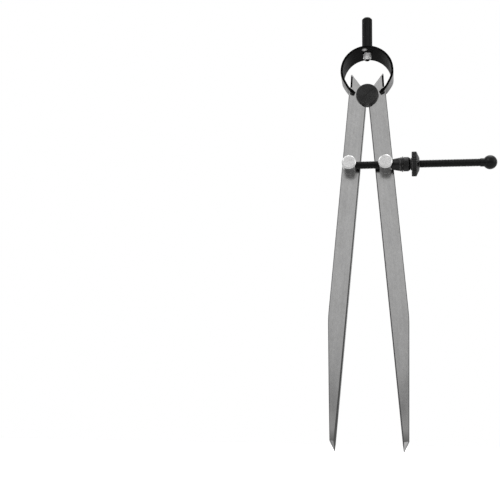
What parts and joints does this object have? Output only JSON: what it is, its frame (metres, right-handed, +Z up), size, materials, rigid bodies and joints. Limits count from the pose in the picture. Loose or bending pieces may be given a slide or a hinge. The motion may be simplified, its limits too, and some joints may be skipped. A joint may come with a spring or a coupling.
{
  "type": "spring divider",
  "caption": "Toolmaker's spring divider: two flat pointed legs on a fulcrum stud, a bow spring with a round handle, and an adjusting screw with a quick nut and ball end.",
  "frame": {"origin": "midway between the two scribing points, at the middle of the legs' thickness", "axes": "+Z up through the handle, +X along the adjusting screw towards its ball end, -Y the front where the studs and the screw are"},
  "size_m": [0.0693, 0.0177, 0.1855],
  "materials": {
    "leg_steel": "ground satin steel",
    "spring_black": "black oxide spring steel, semi-gloss",
    "fulcrum_black": "black oxide, satin",
    "handle_black": "black oxide, straight knurl",
    "stud_bright": "bright plated",
    "screw_black": "black oxide, threaded",
    "nut_black": "black oxide, knurled"
  },
  "bodies": {
    "head": {"bow_spring": "spring_black", "handle": "handle_black", "handle_rivet": "stud_bright", "fulcrum_stud": "fulcrum_black"},
    "left_leg": {"left_leg": "leg_steel"},
    "right_leg": {"right_leg": "leg_steel"},
    "screw_carrier": {"left_stud": "stud_bright", "left_keeper": "stud_bright", "adjusting_screw": "screw_black", "screw_ball": "screw_black"},
    "slide_stud": {"right_stud": "stud_bright", "right_keeper": "stud_bright"},
    "nut": {"nut_thumbwheel": "nut_black", "nut_spring_ring": "nut_black"},
    "jaw_front": {"nut_jaw_front": "nut_black"},
    "jaw_rear": {"nut_jaw_rear": "nut_black"}
  },
  "joints": [
    {"name": "left_leg_open", "type": "hinge", "parent": "head", "child": "left_leg", "pos_m": [0, 0, 0.1495], "axis": [0, 1, 0], "range_deg": [-5, 23.5], "deforming": ["bow_spring"]},
    {"name": "right_leg_open", "type": "hinge", "parent": "head", "child": "right_leg", "pos_m": [0, 0, 0.1495], "axis": [0, -1, 0], "range_deg": [-5, 23.5]},
    {"name": "screw_swing", "type": "hinge", "parent": "left_leg", "child": "screw_carrier", "pos_m": [-0.00748, 0, 0.1176], "axis": [0, 1, 0], "range_deg": [-23.5, 5]},
    {"name": "slide_stud_swing", "type": "hinge", "parent": "right_leg", "child": "slide_stud", "pos_m": [0.00748, 0, 0.1176], "axis": [0, -1, 0], "range_deg": [-23.5, 5]},
    {"name": "nut_spin", "type": "hinge", "parent": "slide_stud", "child": "nut", "pos_m": [0.0178, -0.0051, 0.1176], "axis": [1, 0, 0], "continuous": true},
    {"name": "jaw_front_release", "type": "hinge", "parent": "nut", "child": "jaw_front", "pos_m": [0.0172, -0.0051, 0.1176], "axis": [0, 0, 1], "range_deg": [0, 1.5]},
    {"name": "jaw_rear_release", "type": "hinge", "parent": "nut", "child": "jaw_rear", "pos_m": [0.0172, -0.0051, 0.1176], "axis": [0, 0, -1], "range_deg": [0, 1.5]}
  ],
  "couplings": [
    {"joint": "right_leg_open", "follows": "left_leg_open", "ratio": 1},
    {"joint": "screw_swing", "follows": "left_leg_open", "ratio": -1},
    {"joint": "slide_stud_swing", "follows": "left_leg_open", "ratio": -1},
    {"joint": "jaw_rear_release", "follows": "jaw_front_release", "ratio": 1}
  ]
}
